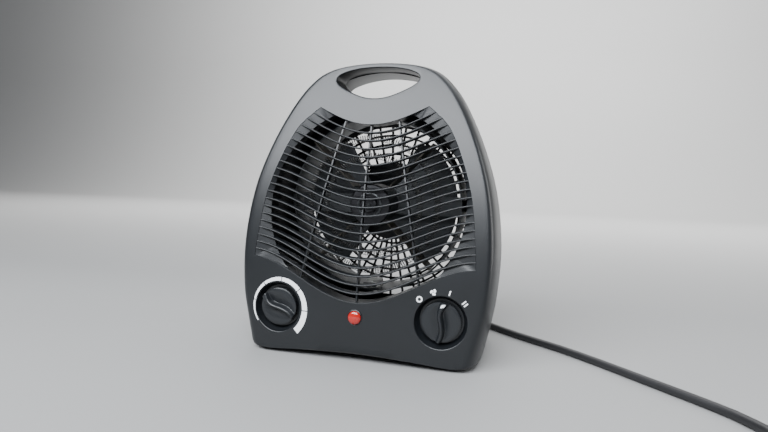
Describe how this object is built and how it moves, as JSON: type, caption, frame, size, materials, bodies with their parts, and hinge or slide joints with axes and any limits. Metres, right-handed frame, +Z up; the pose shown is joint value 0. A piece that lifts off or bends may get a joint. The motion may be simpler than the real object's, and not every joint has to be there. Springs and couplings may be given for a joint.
{
  "type": "fan heater",
  "caption": "Upright free-standing plastic fan heater with wave grille, carrying hole, two rotary controls and coiled mains cord",
  "frame": {"origin": "on the floor, under the centre of the body's bounding box without the cord", "axes": "+Z up, the outlet grille and the dials face -Y, +X to the right seen from the front"},
  "size_m": [0.5097, 0.3084, 0.262],
  "materials": {
    "body": "charcoal black moulded plastic, fine satin grain",
    "knob": "black satin plastic",
    "lens": "red translucent gloss",
    "steel": "zinc-plated",
    "motor": "dull pressed steel",
    "fan": "dark grey moulded plastic",
    "mica": "pressed mica sheet",
    "wire": "coiled resistance wire",
    "white": "heat-resistant moulding",
    "foot": "soft black",
    "gland": "moulded black",
    "pin": "nickel-plated",
    "plug": "moulded black",
    "tie": "black strap",
    "cord": "black flexible sheath",
    "lead": "brown insulation"
  },
  "bodies": {
    "housing": {"front_shell": "body", "rear_shell": "body", "indicator_lens": "lens", "indicator_lamp": "white", "thermostat": "white", "mode_switch": "white", "thermostat_screw_left": "steel", "thermostat_screw_right": "steel", "mode_switch_screw_left": "steel", "mode_switch_screw_right": "steel", "fan_duct": "steel", "duct_screw_left": "steel", "duct_screw_right": "steel", "motor_bracket": "steel", "motor_body": "motor", "motor_screw_left": "steel", "motor_screw_right": "steel", "mica_board_1": "mica", "mica_board_2": "mica", "mica_board_3": "mica", "mica_board_4": "mica", "heating_coil_inner": "wire", "heating_coil_outer": "wire", "thermal_cutout": "white", "thermal_fuse": "steel", "terminal_block": "white", "supply_lead": "cord", "switch_lead": "lead", "thermostat_lead": "lead", "case_screw_left_1": "steel", "case_screw_left_2": "steel", "case_screw_left_3": "steel", "case_screw_right_1": "steel", "case_screw_right_2": "steel", "case_screw_right_3": "steel", "foot_front_left": "foot", "foot_front_right": "foot", "foot_rear_left": "foot", "foot_rear_right": "foot", "cord_gland": "gland", "supply_cord": "cord", "cord_coil": "cord", "cord_tie": "tie", "plug_body": "plug", "plug_pin_left": "pin", "plug_pin_right": "pin"},
    "thermostat_dial": {"thermostat_knob": "knob", "thermostat_shaft": "steel"},
    "mode_dial": {"mode_knob": "knob", "mode_switch_shaft": "steel"},
    "fan_rotor": {"fan_impeller": "fan", "motor_shaft": "steel", "fan_cap": "knob"}
  },
  "joints": [
    {"name": "thermostat_turn", "type": "hinge", "parent": "housing", "child": "thermostat_dial", "pos_m": [-0.0723, -0.0526, 0.0402], "axis": [0, -1, 0], "range_deg": [-192, 70]},
    {"name": "mode_turn", "type": "hinge", "parent": "housing", "child": "mode_dial", "pos_m": [0.0723, -0.0526, 0.0402], "axis": [0, -1, 0], "range_deg": [-39, 54]},
    {"name": "fan_spin", "type": "hinge", "parent": "housing", "child": "fan_rotor", "pos_m": [0, 0.023, 0.132], "axis": [0, 1, 0], "continuous": true}
  ]
}
